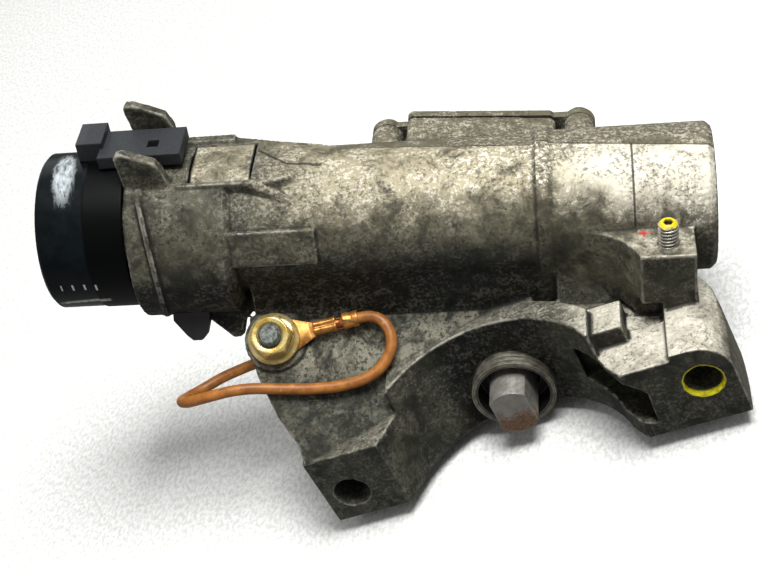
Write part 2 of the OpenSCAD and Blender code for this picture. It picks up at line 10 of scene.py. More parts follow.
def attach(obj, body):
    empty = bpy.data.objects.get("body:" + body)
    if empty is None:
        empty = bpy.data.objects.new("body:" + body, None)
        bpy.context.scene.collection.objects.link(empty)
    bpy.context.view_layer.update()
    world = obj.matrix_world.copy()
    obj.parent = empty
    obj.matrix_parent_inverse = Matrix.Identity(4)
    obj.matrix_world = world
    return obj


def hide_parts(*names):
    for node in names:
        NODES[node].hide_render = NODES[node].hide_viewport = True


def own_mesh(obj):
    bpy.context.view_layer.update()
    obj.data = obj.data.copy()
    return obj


MM = 0.001
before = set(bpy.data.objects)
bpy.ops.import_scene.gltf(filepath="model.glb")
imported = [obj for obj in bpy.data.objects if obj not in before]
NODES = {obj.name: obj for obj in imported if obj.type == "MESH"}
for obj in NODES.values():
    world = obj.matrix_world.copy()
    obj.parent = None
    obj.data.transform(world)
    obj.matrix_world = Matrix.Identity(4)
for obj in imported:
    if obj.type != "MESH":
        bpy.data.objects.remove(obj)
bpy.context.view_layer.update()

# Frames of the part, in millimetres: the tube's axis and the sloping pad of the earth stud.
TILT = math.radians(18.1)
TUBE_AT = np.array([42.6 * math.sin(TILT), 47.5, 13.5 + 42.6 * math.cos(TILT)])
TUBE_X = np.array([math.cos(TILT), 0.0, -math.sin(TILT)])
TUBE_Y = np.array([0.0, 1.0, 0.0])
TUBE_Z = np.array([math.sin(TILT), 0.0, math.cos(TILT)])
SLOPE = math.radians(38.5)
PAD_OFFSET = -6.0

# Places on the part, in millimetres: the right lug's hole, the bolt's axis and its outer end.
RIGHT_HOLE = (52.4, 0, 18.7)
BOLT_HEIGHT = 13.5
BOLT_END = 13.4

# How CAD shells are copied: reach of the weld, cell of the even casting, and its triangles at most.
WELD_REACH = 1e-6
CASTING_CELL = 0.5 * MM
CASTING_TRIANGLES = 190000


def on_tube(points):
    """Points along, across and up from the tube's axis, in millimetres, as row-frame metres."""
    p = np.asarray(points, float)
    return (TUBE_AT + p[..., :1] * TUBE_X + p[..., 1:2] * TUBE_Y + p[..., 2:3] * TUBE_Z) * MM


def on_pad(points):
    """Points along the tube, up the slope and out from the pad, in millimetres, as row-frame metres."""
    p = np.asarray(points, float)
    out = p[..., 2] + PAD_OFFSET
    y = p[..., 1] * math.cos(SLOPE) - out * math.sin(SLOPE)
    z = p[..., 1] * math.sin(SLOPE) + out * math.cos(SLOPE)
    return on_tube(np.stack([p[..., 0], y, z], axis=-1))


# Camera

AZIMUTH, ELEVATION, ROLL = (math.radians(a) for a in (22.704, 34.076, 30.688))
CAMERA_AT = Vector((0.11763, -0.30063, 0.29543))
ahead = Vector((-math.sin(AZIMUTH) * math.cos(ELEVATION), math.cos(AZIMUTH) * math.cos(ELEVATION),
                -math.sin(ELEVATION)))
level = Vector((math.cos(AZIMUTH), math.sin(AZIMUTH), 0))
upright = level.cross(ahead)
right = level * math.cos(ROLL) - upright * math.sin(ROLL)
up = upright * math.cos(ROLL) + level * math.sin(ROLL)
lens = bpy.data.cameras.new("camera")
lens.sensor_fit = "HORIZONTAL"
lens.sensor_width = 36
lens.lens = 77.442
lens.clip_start = 0.01
camera = bpy.data.objects.new("camera", lens)
camera.matrix_world = Matrix.Translation(CAMERA_AT) @ Matrix((right, up, -ahead)).transposed().to_4x4()
bpy.context.scene.collection.objects.link(camera)
bpy.context.scene.camera = camera


# Meshes

def piece(name, points, faces, body="frame", crease=None):
    """A smooth mesh riding on a body, with its place in its points; edges past crease stay sharp."""
    mesh = bpy.data.meshes.new(name)
    mesh.from_pydata(np.asarray(points).reshape(-1, 3).tolist(), [], faces)
    mesh.polygons.foreach_set("use_smooth", np.ones(len(mesh.polygons), bool))
    if crease is not None:
        mesh.set_sharp_from_angle(angle=math.radians(crease))
    mesh.update()
    made = bpy.data.objects.new(name, mesh)
    bpy.context.scene.collection.objects.link(made)
    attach(made, body)
    return made


def grid_faces(rows, columns, round_rows=False):
    """Quads between neighbours of a grid; its columns, and its rows if asked, close into rings."""
    r = np.arange(rows if round_rows else rows - 1)[:, None]
    c = np.arange(columns)[None, :]
    n = (c + 1) % columns
    m = (r + 1) % rows
    quads = np.stack([r * columns + c, r * columns + n, m * columns + n, m * columns + c], axis=-1)
    return quads.reshape(-1, 4).tolist()


def shell(grid, round_rows=False):
    """A grid of points round a form as a closed surface with outward faces; open end rows are capped."""
    rows, columns = grid.shape[:2]
    points = grid.reshape(-1, 3)
    faces = grid_faces(rows, columns, round_rows)
    if not round_rows:
        faces += [list(range(columns))[::-1], list(range((rows - 1) * columns, rows * columns))]
    corners = np.array([(f[0], f[i], f[i + 1]) for f in faces for i in range(1, len(f) - 1)])
    a, b, c = (points[corners[:, k]] for k in range(3))
    if (a * np.cross(b, c)).sum() < 0:
        faces = [f[::-1] for f in faces]
    return points, faces


def joined(*shells):
    """Several closed surfaces as one set of points and faces."""
    starts = np.cumsum([0] + [len(points) for points, _ in shells])
    faces = [[i + start for i in face] for start, (_, part) in zip(starts.tolist(), shells) for face in part]
    return np.vstack([points for points, _ in shells]), faces


def turned(profile, shape=None, columns=96):
    """A profile of radius r and height h turned round: (r cos a, r sin a, h); shape may change r."""
    r, h = np.asarray(profile, float).T[:, :, None]
    a = np.linspace(0, 2 * np.pi, columns, endpoint=False)[None, :]
    r = np.broadcast_to(r, (len(r), columns))
    if shape is not None:
        r = shape(r, h, a)
    return np.stack([r * np.cos(a), r * np.sin(a), np.broadcast_to(h, r.shape)], axis=-1)


def smooth_path(knots, steps=8):
    """Catmull-Rom: each span's cubic leaves and meets its knots along the line between their neighbours."""
    k = np.asarray(knots, float)
    k = np.vstack([2 * k[0] - k[1], k, 2 * k[-1] - k[-2]])
    t = (np.arange(steps) / steps)[None, :, None]
    a, b, c, d = (k[i:len(k) - 3 + i, None] for i in range(4))
    span = 0.5 * (2 * b + (c - a) * t + (2 * a - 5 * b + 4 * c - d) * t ** 2
                  + (3 * b - a - 3 * c + d) * t ** 3)
    return np.vstack([span.reshape(-1, 3), k[-2:-1]])


def sweep(path, radius, sides=16):
    """A circle carried along a path unturned: centre + radius * (cos a * side + sin a * top)."""
    ahead_of = np.gradient(path, axis=0)
    ahead_of /= np.linalg.norm(ahead_of, axis=1, keepdims=True)
    side = np.cross(ahead_of[0], [0.3, 0.2, 0.9])
    sides_of = np.empty_like(path)
    for i, forward in enumerate(ahead_of):
        side = side - forward * (side @ forward)
        side /= np.linalg.norm(side)
        sides_of[i] = side
    tops_of = np.cross(ahead_of, sides_of)
    angle = np.linspace(0, 2 * np.pi, sides, endpoint=False)[None, :, None]
    reach = np.broadcast_to(np.asarray(radius, float).reshape(-1, 1, 1), (len(path), 1, 1))
    return path[:, None] + reach * (np.cos(angle) * sides_of[:, None] + np.sin(angle) * tops_of[:, None])


# Earth stud in the pad's frame and grub screw in the tube's
STUD_AT = np.array([-62.6, -32.0, 0.0])
GRUB_AT = np.array([41.4, -24.6, 0.0])

# Route of the earth lead, in the pad's frame
LEAD_KNOTS = [
    (-46.9, -28.95, 2.8), (-43.16, -28.22, 2.8), (-39.43, -27.5, 2.8), (-36.2, -27.3, 3),
    (-33.2, -28.7, 3.4), (-31.1, -32.2, 3.5), (-31.2, -36.6, 3.4), (-33.8, -41, 3.2),
    (-38, -43.8, 3), (-44.8, -45.4, 2.6), (-52.8, -45.8, 2.2), (-60.8, -45.5, 2.2),
    (-68.9, -45.2, 2.6), (-75, -45.8, 2.8), (-81.6, -47, 1.8), (-86.6, -47.6, -0.6),
    (-89.4, -46.8, -4.4), (-88.6, -45, -8.6), (-85.4, -42.6, -11.4), (-80.4, -39.6, -12.6),
    (-75, -37.4, -12.6), (-70.8, -36, -12.4), (-66, -34.8, -12.4)]
LEAD_RADIUS = 1.5 * MM
STRAND_RADIUS = 1.15 * MM
BARE_END = 3.0 * MM


# Shader nodes

class Wire:
    """A node's output that can stand in arithmetic: each operator adds one Math node to the finish."""

    def __init__(self, finish, socket):
        self.finish = finish
        self.socket = socket

    def maths(self, operation, *values):
        return self.finish.add("ShaderNodeMath", {"operation": operation}, dict(enumerate(values)))

    def __add__(self, other):
        return self.maths("ADD", self, other)

    def __radd__(self, other):
        return self.maths("ADD", other, self)

    def __sub__(self, other):
        return self.maths("SUBTRACT", self, other)

    def __rsub__(self, other):
        return self.maths("SUBTRACT", other, self)

    def __mul__(self, other):
        return self.maths("MULTIPLY", self, other)

    def __rmul__(self, other):
        return self.maths("MULTIPLY", other, self)

    def __truediv__(self, other):
        return self.maths("DIVIDE", self, other)

    def __pow__(self, other):
        return self.maths("POWER", self, other)

    def size(self):
        return self.maths("ABSOLUTE", self)

    def most(self, other):
        return self.maths("MAXIMUM", self, other)

    def least(self, other):
        return self.maths("MINIMUM", self, other)

    def ramp(self, low, high, to_low=0.0, to_high=1.0):
        """Smooth step from low to high; it falls where low is above high."""
        if low > high:
            low, high, to_low, to_high = high, low, to_high, to_low
        return self.finish.add("ShaderNodeMapRange", {"interpolation_type": "SMOOTHSTEP"},
                               {0: self, 1: low, 2: high, 3: to_low, 4: to_high})


def rgb(code):
    """A six-digit colour as written on screen, in linear light."""
    c = np.array([int(code[i:i + 2], 16) for i in (0, 2, 4)]) / 255
    c = np.where(c <= 0.04045, c / 12.92, ((c + 0.055) / 1.055) ** 2.4)
    return (*c.tolist(), 1.0)


class Finish:
    """A material under construction: one shader, and one way of adding a node."""

    def __init__(self, name, **shader_values):
        self.material = bpy.data.materials.new(name)
        self.material.use_nodes = True
        self.tree = self.material.node_tree
        self.shader = self.tree.nodes["Principled BSDF"]
        self.place = self.add("ShaderNodeTexCoord", {}, {}, "Object")
        self.give(**shader_values)

    def link(self, socket, value):
        if isinstance(value, Wire):
            self.tree.links.new(value.socket, socket)
        else:
            socket.default_value = value

    def add(self, kind, settings, values, out=0):
        """Adds a node, sets its own settings first and then its sockets, and returns one output."""
        node = self.tree.nodes.new(kind)
        for name, value in settings.items():
            setattr(node, name, value)
        for key, value in values.items():
            self.link(node.inputs[key], value)
        return Wire(self, node.outputs[out])

    def give(self, **shader_values):
        """Sets or links the shader's sockets; underscores stand for spaces."""
        for name, value in shader_values.items():
            self.link(self.shader.inputs[name.replace("_", " ")], value)

    def along(self, axis, at):
        """Distance from a point along an axis, in millimetres."""
        dot = self.add("ShaderNodeVectorMath", {"operation": "DOT_PRODUCT"},
                       {0: self.place, 1: tuple(np.asarray(axis, float) / MM)}, 1)
        return dot - float(np.dot(axis, at))

    def tube(self):
        """Distances along, across and up from the tube's axis, in millimetres."""
        return [self.along(axis, TUBE_AT) for axis in (TUBE_X, TUBE_Y, TUBE_Z)]

    def noise(self, grain, detail=4.0, rough=0.55, stretch=None, warp=0.0):
        """Cloudy noise from 0 to 1 whose clouds are about grain millimetres across."""
        where = self.place
        if stretch is not None:
            where = self.add("ShaderNodeMapping", {}, {"Vector": where, "Scale": stretch})
        values = {"Vector": where, "Scale": 1 / (grain * MM), "Detail": detail, "Roughness": rough}
        return self.add("ShaderNodeTexNoise", {}, {**values, "Distortion": warp})

    def cell_edges(self, grain):
        """Distance from the edges of cells about grain millimetres across."""
        return self.add("ShaderNodeTexVoronoi", {"feature": "DISTANCE_TO_EDGE"},
                        {"Vector": self.place, "Scale": 1 / (grain * MM)}, "Distance")

    def mix(self, share, first, second):
        """The first colour where share is 0, the second where it is 1."""
        return self.add("ShaderNodeMix", {"data_type": "RGBA"}, {0: share, 6: first, 7: second}, 2)

    def bump(self, height, depth, strength=1.0, normal=None):
        """Normal of a height from 0 to 1 over depth millimetres."""
        values = {"Height": height, "Distance": depth * MM, "Strength": strength}
        if normal is not None:
            values["Normal"] = normal
        return self.add("ShaderNodeBump", {}, values)

    def facing(self, way):
        """How squarely the surface faces a direction: 1 straight on, 0 side on."""
        normal = self.add("ShaderNodeNewGeometry", {}, {}, "Normal")
        unit = np.asarray(way, float) / np.linalg.norm(way)
        return self.add("ShaderNodeVectorMath", {"operation": "DOT_PRODUCT"}, {0: normal, 1: tuple(unit)}, 1)

    def attribute(self, name):
        return self.add("ShaderNodeAttribute", {"attribute_name": name}, {}, "Fac")

    def soft_edges(self, radius):
        """Normal that turns smoothly over edges, radius millimetres wide."""
        return self.add("ShaderNodeBevel", {"samples": 4}, {"Radius": radius * MM})

    def wear(self, radius):
        """Near 1 along edges: how far the rounded normal leans from the flat one."""
        flat = self.add("ShaderNodeNewGeometry", {}, {}, "Normal")
        lean = self.add("ShaderNodeVectorMath", {"operation": "DOT_PRODUCT"},
                        {0: self.soft_edges(radius), 1: flat}, 1)
        return lean.ramp(0.995, 0.9)


def casting_lines(f, past_seam, ragged):
    """How dark a line is at each point, 0 to 1.

    Fine cracks, a crack across the platform, the die's seam, a step on the switch end and the insert's gap.
    """
    x, y, z = f.tube()
    seams = f.cell_edges(9) + (f.noise(1.4, 3) - 0.5) * 0.16
    cracks = seams.ramp(0.011, 0.005) * f.noise(17, 2).ramp(0.57, 0.64)
    jitter = (ragged - 0.5) * 1.4
    fall = (x + 63.3) * -0.826 + 5.1
    level_run = (x + 54.7) * -0.057 - 2.0
    from_split = (y - fall.most(level_run) + jitter).size()
    split = from_split.ramp(0.6, 0.3) * x.ramp(-63.6, -63) * x.ramp(-45.4, -46)
    seam = past_seam.size().ramp(0.014, 0.006) * x.ramp(-34, -32)
    step = (x - 33.65).size().ramp(0.34, 0.2) * past_seam.ramp(0.0, -0.01) * z.ramp(4.7, 5.2)
    gap = ((x + 72.1).size() - 8.15).most((y - 0.3).size() - 7.75).size().ramp(0.62, 0.4)
    on_top = z.ramp(16, 16.6)
    return (cracks * 0.6).most(split * on_top).most(seam * 0.7).most(step).most(gap * on_top)


def casting_paint(f, tone, ragged):
    """The tone with yellow paint round the right hole and a red dab by the grub screw, and their share."""
    x, y, z = f.tube()
    across = f.along((1, 0, 0), RIGHT_HOLE)
    above = f.along((0, 0, 1), RIGHT_HOLE)
    from_hole = (across * across + above * above) ** 0.5 + (ragged - 0.5) * 1.4
    depth = f.along((0, 1, 0), RIGHT_HOLE) + (ragged - 0.5) * 1.2 + above * 0.1
    paint = from_hole.ramp(5.5, 5.25) * depth.ramp(1.5, 1.2)
    tone = f.mix(paint, tone, f.mix(ragged.ramp(0.35, 0.6), rgb("a99b0c"), rgb("e2da26")))
    dab_x = (x - 35.5).size()
    dab_y = (y + 20.6).size()
    arm = (dab_x / 2.1 + dab_y / 0.5).least(dab_x / 0.5 + dab_y / 1.7)
    red = (arm + ragged * 0.8).ramp(1.6, 1.2) * z.ramp(3.2, 4.0)
    return f.mix(red * 0.9, tone, rgb("c22f2b")), paint.most(red)


def casting_finish(name, shine=0.0):
    """Oxidised alloy: painted light on top and along the tube's lit band, speckled, grimy with painted shade
    below, with pits, lines, rubbed edges and paint dabs.

    Shine above 0 keeps the painted light on the key end of the tube, and keeps that end from being grimy and
    darkened with painted shade.
    """
    f = Finish(name, Specular_IOR_Level=0.22)
    x, y, z = f.tube()
    edge = f.attribute("edge")
    turn = z.maths("ARCTAN2", z, y * -1)
    past_seam = turn - 1.635 + x * 0.0052
    on_tube_skin = x.ramp(-45, -43)
    level = f.facing((0, 0, 1))
    broad = f.noise(20, 3, 0.6)
    patch = f.noise(6, 6, 0.68, warp=0.5)
    streak = f.noise(1.6, 6, 0.75, stretch=(0.5, 1, 0.8))
    grit = f.noise(0.9, 6, 0.78)
    # how far up round the tube, jittered and raised towards the right end: it places the painted light of the
    # lit band and the painted shade of the lower side
    on_front = turn + (broad - 0.5) * 0.9 + (patch - 0.5) * 0.8 + x.ramp(24, 36, 0.0, 0.35)
    # upper: faces turned up towards the key lamp, where light is painted
    upper = f.facing(TUBE_Z * 0.9 - TUBE_Y * 0.44).ramp(0.35, 0.78)
    low = turn.ramp(0.05, -0.15)
    row_x = f.along((1, 0, 0), (0, 0, 0))
    row_z = f.along((0, 0, 1), (0, 0, 0))
    # tops: upward faces, given painted light from above
    lug_side = level.ramp(0.1, 0.9) * row_x.ramp(43, 45)
    tops = level.ramp(0.8, 0.93).most(lug_side) * low * row_z.ramp(20, 22) * row_x.ramp(20, 30, 0.3, 1.0)
    front = f.facing((0, -1, 0)).ramp(0.75, 0.95)
    # on_skin: the tube's lit band below the seam, where light is painted
    on_skin = on_front.ramp(0.4, 1.05) * upper * (1 - past_seam.ramp(-0.03, 0.0) * on_tube_skin)
    key_end = x.ramp(-44, -72)
    # switch_end: painted highlight at the tube's right end
    switch_end = x.ramp(8, 30) * on_skin
    # bright: painted light, stronger towards the right end and on upward faces, weaker at the key end
    bright = (on_skin * x.ramp(-70, 10, 0.65, 1.0)).most(tops * 0.8) * (1 - 0.85 * key_end * (1 - shine))
    crown = past_seam.ramp(-0.01, 0.01) * on_tube_skin
    # grimy and painted shade on the lower side, on faces not turned up and at the key end; upward faces are
    # spared
    grime_and_shade = (on_front.ramp(0.4, -0.2).most(1 - upper) * (1 - tops * 0.85)).most(key_end * 0.7 * (1 - shine))
    # the back lies away from the road dirt
    # less grimy and less painted shade on faces turned to the back
    grime_and_shade = grime_and_shade * (1 - 0.55 * f.facing((-0.3, 0.9, 0.1)).ramp(0.1, 0.6))
    # less grimy and less painted shade on the gusset, and at the right end on faces not turned to -Y
    gusset = x.ramp(15, 20) * x.ramp(36, 33) * z.ramp(-13, -9)
    grime_and_shade = grime_and_shade * (1 - 0.65 * gusset) * (1 - 0.3 * x.ramp(30, 36) * (1 - front))
    tone = f.mix(patch.ramp(0.36, 0.64), rgb("565346"), rgb("7e7965"))
    # painted light on the lit band, in patches
    tone = f.mix(bright * patch.ramp(0.3, 0.52), tone, rgb("aaa187"))
    pale_patch = (patch * 0.7 + grit * 0.3).ramp(0.36, 0.58, 0.5, 1.0)
    # pale painted highlight at the switch end and on upward faces, in patches
    tone = f.mix((switch_end * 0.9).most(tops) * pale_patch, tone, rgb("e0dbca"))
    tone = f.mix(crown * 0.75, tone, rgb("736e5b"))
    shaded_grime_tone = f.mix(patch.ramp(0.34, 0.66), rgb("272a24"), rgb("4a4b41"))
    # grimy dark tone with painted shade over the lower side
    tone = f.mix(grime_and_shade * broad.ramp(0.2, 0.55, 0.55, 0.95), tone, shaded_grime_tone)
    # painted shadow under the tube and painted shade at the top of the saddle's arch, near black
    under = z.ramp(1, -7) * z.ramp(-27, -22) * y.ramp(-8, -12) * x.ramp(14, 8) * level.ramp(0.6, 0.4)
    arch = front * row_x.size().ramp(27, 12) * row_z.ramp(38, 34)
    tone = f.mix((under * 0.9).most(arch * 0.95), tone, rgb("0d0f0b"))
    # painted shade on faces turned to -Y at the right end, except on the gusset
    tone = f.mix(front * row_x.ramp(24, 30) * (1 - gusset) * 0.4, tone, rgb("191b16"))
    bead = x.ramp(7.6, 9) * x.ramp(15.5, 12) * patch.ramp(0.66, 0.46) * z.ramp(-26, -20) * (1 - crown)
    tone = f.mix(bead * 0.6, tone, rgb("4a483b"))
    # the sloping web, paler beside the nut and darker above the left lug
    slope_up = TUBE_Y * math.cos(SLOPE) + TUBE_Z * math.sin(SLOPE)
    slope_out = TUBE_Z * math.cos(SLOPE) - TUBE_Y * math.sin(SLOPE)
    climb = f.along(slope_up, TUBE_AT)
    web = f.facing(slope_out).ramp(0.93, 0.98) * z.ramp(-10, -14)
    tone = f.mix(web * climb.ramp(-46, -38) * patch.ramp(0.36, 0.6) * 0.65, tone, rgb("989482"))
    tone = f.mix(web * climb.ramp(-44, -54) * patch.ramp(0.62, 0.42) * 0.5, tone, rgb("24261f"))
    # pale chalk specks, thickest in the painted light
    chalk = (grit * 0.65 + streak * 0.35).ramp(0.495, 0.545) * (patch * 0.55 + broad * 0.45).ramp(0.42, 0.54)
    chalky = bright * x.ramp(-45, 15, 0.6, 0.9) - tops * 0.3 + crown * 0.3 + 0.08
    tone = f.mix(chalk * chalky, tone, rgb("f2ecd9"))
    soot = f.noise(1.0, 7, 0.8).ramp(0.52, 0.57) * f.noise(8, 4, 0.6).ramp(0.38, 0.56)
    tone = f.mix(soot * (0.6 + 0.3 * grime_and_shade), tone, rgb("26241f"))
    rusty = f.noise(1.5, 5, 0.7).ramp(0.57, 0.66) * f.noise(13, 3).ramp(0.46, 0.58)
    tone = f.mix(rusty * 0.5, tone, rgb("6b573c"))
    ragged = f.noise(1.8, 4)
    lines = casting_lines(f, past_seam, ragged)
    tone = f.mix(lines * 0.85, tone, rgb("1b1a18"))
    # darker in concave creases: grimy and painted shade
    hollow = (edge * -1).ramp(0.02, 0.22)
    tone = f.mix(hollow * 0.85, tone, rgb("1d1c1a"))
    rubbed = edge.ramp(0.1, 0.3) * f.noise(2.4, 4).ramp(0.36, 0.6)
    tone = f.mix(rubbed * 0.45, tone, rgb("bdb9ad"))
    tone, covered = casting_paint(f, tone, ragged)
    rough = 0.44 + 0.16 * patch + 0.2 * grit - 0.16 * rubbed
    relief = 0.55 * grit + 0.35 * f.noise(0.35, 3) + 0.5 * patch + 0.3 * chalk - 1.2 * lines - 0.5 * soot
    metal = (0.45 - 0.3 * soot - 0.3 * chalk - 0.2 * grime_and_shade) * (1 - covered) * (1 - hollow) * (1 - lines)
    f.give(Base_Color=tone, Roughness=rough, Metallic=metal, Normal=f.bump(relief, 0.16, 0.5))
    return f.material


def steel_finish(name, pale, dark, grain=1.2, metal=0.85, gloss=0.3, edge_width=0.35):
    """Plain steel or zinc: a cloudy tint, fine scratches along the tube and brighter edges."""
    f = Finish(name, Metallic=metal)
    cloud = f.noise(grain * 3, 5, 0.65)
    scratch = f.noise(grain, 3, 0.6, stretch=(0.15, 1, 1))
    worn = f.wear(edge_width)
    tone = f.mix(cloud.ramp(0.3, 0.7), rgb(dark), rgb(pale))
    tone = f.mix(worn * 0.5, tone, rgb("d8d6d2"))
    f.give(Base_Color=tone, Roughness=gloss + 0.22 * cloud + 0.12 * scratch,
           Normal=f.bump(scratch, 0.03, 0.5, f.soft_edges(edge_width)))
    return f.material


def bolt_finish():
    """Lock bolt: bright rubbed flanks with fine scores, a greyer end face and rust along its lower half."""
    f = Finish("bolt_steel")
    out = f.along((0, 1, 0), (0, BOLT_END, 0))
    height = f.along((0, 0, 1), (0, 0, BOLT_HEIGHT))
    cloud = f.noise(2.4, 5, 0.65)
    fine = f.noise(0.5, 4, 0.7)
    score = f.noise(0.6, 3, 0.6, stretch=(1, 0.06, 1))
    tone = f.mix(cloud.ramp(0.35, 0.65), rgb("b5b2a8"), rgb("e2dfd5"))
    end = (out + 0.4 * fine).ramp(0.6, 0.3)
    tone = f.mix(end * 0.75, tone, rgb("77726c"))
    low = (height + (cloud - 0.5) * 9).ramp(0.5, -2.5) * out.ramp(5, 1.5)
    rust = f.mix(fine.ramp(0.35, 0.65), rgb("4a3626"), rgb("8f6a48"))
    tone = f.mix((low * 0.9).most(f.noise(1.2, 5).ramp(0.62, 0.72) * 0.4), tone, rust)
    tone = f.mix(f.wear(0.5) * 0.6, tone, rgb("dcd9d4"))
    f.give(Base_Color=tone, Metallic=0.75 - 0.5 * low, Roughness=0.26 + 0.2 * score + 0.3 * low + 0.1 * end,
           Normal=f.bump(score + fine * end, 0.05, 0.6, f.soft_edges(0.5)))
    return f.material


def sleeve_finish():
    """Turned guide sleeve: brown-grey oxide with rings left by the tool and a rubbed rim."""
    f = Finish("sleeve_steel")
    u = f.along((1, 0, 0), (0, 0, 0))
    w = f.along((0, 0, 1), (0, 0, BOLT_HEIGHT))
    radius = (u * u + w * w) ** 0.5
    depth = f.along((0, 1, 0), (0, 0, 0))
    turns = (radius + depth) * 8.0
    rings = turns.maths("SINE", turns)
    cloud = f.noise(2.6, 5, 0.65)
    outside = radius.ramp(9.9, 10.6)
    tone = f.mix(cloud.ramp(0.35, 0.68), rgb("636052"), rgb("9e9888"))
    tone = f.mix(rings.ramp(-0.2, -0.9) * 0.5, tone, rgb("2f2c28"))
    tone = f.mix(outside, rgb("2b2a29"), tone)
    tone = f.mix(f.wear(0.4) * 0.6, tone, rgb("b3aea5"))
    f.give(Base_Color=tone, Metallic=0.35 + 0.3 * outside, Roughness=0.4 + 0.2 * cloud,
           Normal=f.bump(rings * 0.5 + f.noise(0.5), 0.06, 0.6, f.soft_edges(0.4)))
    return f.material


def ring_finish():
    """Reader ring: blue-black cap, black band, dusty latch, a white smear on top and ticks over a scuff."""
    f = Finish("ring_plastic", Metallic=0.0, Specular_IOR_Level=0.1)
    x, y, z = f.tube()
    turn = z.maths("ARCTAN2", z, y * -1)
    grain = f.noise(0.35, 3, 0.6)
    cloud = f.noise(5, 4, 0.6)
    band = x.ramp(-108.3, -107.7)
    outside = ((y * y + z * z) ** 0.5).ramp(17, 18)
    tone = f.mix(cloud.ramp(0.3, 0.7), rgb("080c0e"), rgb("10171a"))
    tone = f.mix(band, tone, rgb("010202"))
    on_latch = z.ramp(21.5, 21.9)
    tone = f.mix(on_latch, tone, f.mix(grain.ramp(0.35, 0.65), rgb("2a2c2e"), rgb("383b3d")))
    dust = f.noise(0.5, 4, 0.75).ramp(0.66, 0.74) * f.noise(8, 3).ramp(0.5, 0.62)
    tone = f.mix(dust * 0.4, tone, rgb("7c7c7a"))
    # the smear runs from the top forward, narrower and thinner as it goes
    drag = f.noise(1.2, 5, 0.7, stretch=(1, 0.35, 0.5), warp=0.6)
    on_smear = ((x + 114.2 - (1.6 - turn) * 1.2) / 3.4) ** 2 + ((turn - 1.42) / 0.5) ** 2
    smear = (on_smear ** 0.5 + (drag - 0.5) * 1.5).ramp(1.05, 0.6) * x.ramp(-120, -119)
    tone = f.mix(smear * outside * drag.ramp(0.25, 0.65) * 0.75, tone, rgb("dbe4e8"))
    # ticks of a plain scale
    scale_at = x.maths("PINGPONG", x + 120, 1.6)
    on_scale = (turn + 0.17).size().ramp(0.055, 0.045) * (x + 111.4).size().ramp(5.6, 5.4)
    mark = scale_at.ramp(0.34, 0.2) * on_scale
    tone = f.mix(mark * outside * 0.85, tone, rgb("dddcd8"))
    scrape = (turn + 0.5 - (x + 112) * 0.006 + (drag - 0.5) * 0.05).size().ramp(0.05, 0.02)
    scrape = scrape * (x + 112).size().ramp(7.6, 6.4) * drag.ramp(0.32, 0.5)
    tone = f.mix(scrape * outside * 0.75, tone, rgb("c9c6be"))
    joint = (x + 95.2).size().ramp(0.18, 0.1) * z.ramp(21.5, 21.7)
    rough = 0.27 + 0.08 * cloud + 0.14 * band + 0.25 * smear
    relief = grain - 6 * joint
    f.give(Base_Color=tone, Roughness=rough, Normal=f.bump(relief, 0.03, 0.25, f.soft_edges(0.6)))
    return f.material


def plastic_finish(name, pale, dark, gloss=0.45):
    """Moulded plastic: faint clouding, fine spark grain and softened edges."""
    f = Finish(name, Metallic=0.0)
    cloud = f.noise(6, 4, 0.6)
    grain = f.noise(0.3, 3, 0.6)
    f.give(Base_Color=f.mix(cloud.ramp(0.3, 0.7), rgb(dark), rgb(pale)), Roughness=gloss + 0.15 * cloud,
           Normal=f.bump(grain, 0.04, 0.4, f.soft_edges(0.35)))
    return f.material


def copper_finish():
    """Ring terminal: formed copper, brown in the clouds and bright along rubbed edges."""
    f = Finish("terminal_copper", Metallic=0.7)
    cloud = f.noise(1.8, 5, 0.65)
    tone = f.mix(cloud.ramp(0.32, 0.68), rgb("9a5f24"), rgb("dba257"))
    tone = f.mix(f.noise(0.9, 5, 0.7).ramp(0.58, 0.68) * 0.6, tone, rgb("4d2c16"))
    tone = f.mix(f.wear(0.3) * 0.7, tone, rgb("f4c796"))
    f.give(Base_Color=tone, Roughness=0.26 + 0.25 * cloud,
           Normal=f.bump(f.noise(0.5), 0.04, 0.5, f.soft_edges(0.25)))
    return f.material


def nut_finish():
    """Flange nut: yellow-passivated zinc, brown at the foot of its hexagon and pale along gripped edges."""
    f = Finish("nut_yellow_zinc", Metallic=0.6)
    up = f.along((on_pad((0, 0, 1)) - on_pad((0, 0, 0))) / MM, on_pad((0, 0, 0)) / MM)
    cloud = f.noise(2.2, 5, 0.65)
    tint = f.noise(5, 3)
    tone = f.mix(cloud.ramp(0.3, 0.7), rgb("c8a236"), rgb("f4e09a"))
    tone = f.mix(tint.ramp(0.5, 0.7) * 0.5, tone, rgb("e6d8bc"))
    foot = (up + (cloud - 0.5) * 1.2 - 3.9).size().ramp(0.7, 0.2)
    tone = f.mix(foot * 0.7, tone, rgb("6f4d22"))
    tone = f.mix(f.noise(0.8, 5, 0.7).ramp(0.6, 0.7) * 0.6, tone, rgb("6f4d22"))
    tone = f.mix(f.wear(0.3) * 0.5, tone, rgb("fbf3d6"))
    f.give(Base_Color=tone, Roughness=0.16 + 0.2 * cloud,
           Normal=f.bump(f.noise(0.4), 0.03, 0.4, f.soft_edges(0.2)))
    return f.material


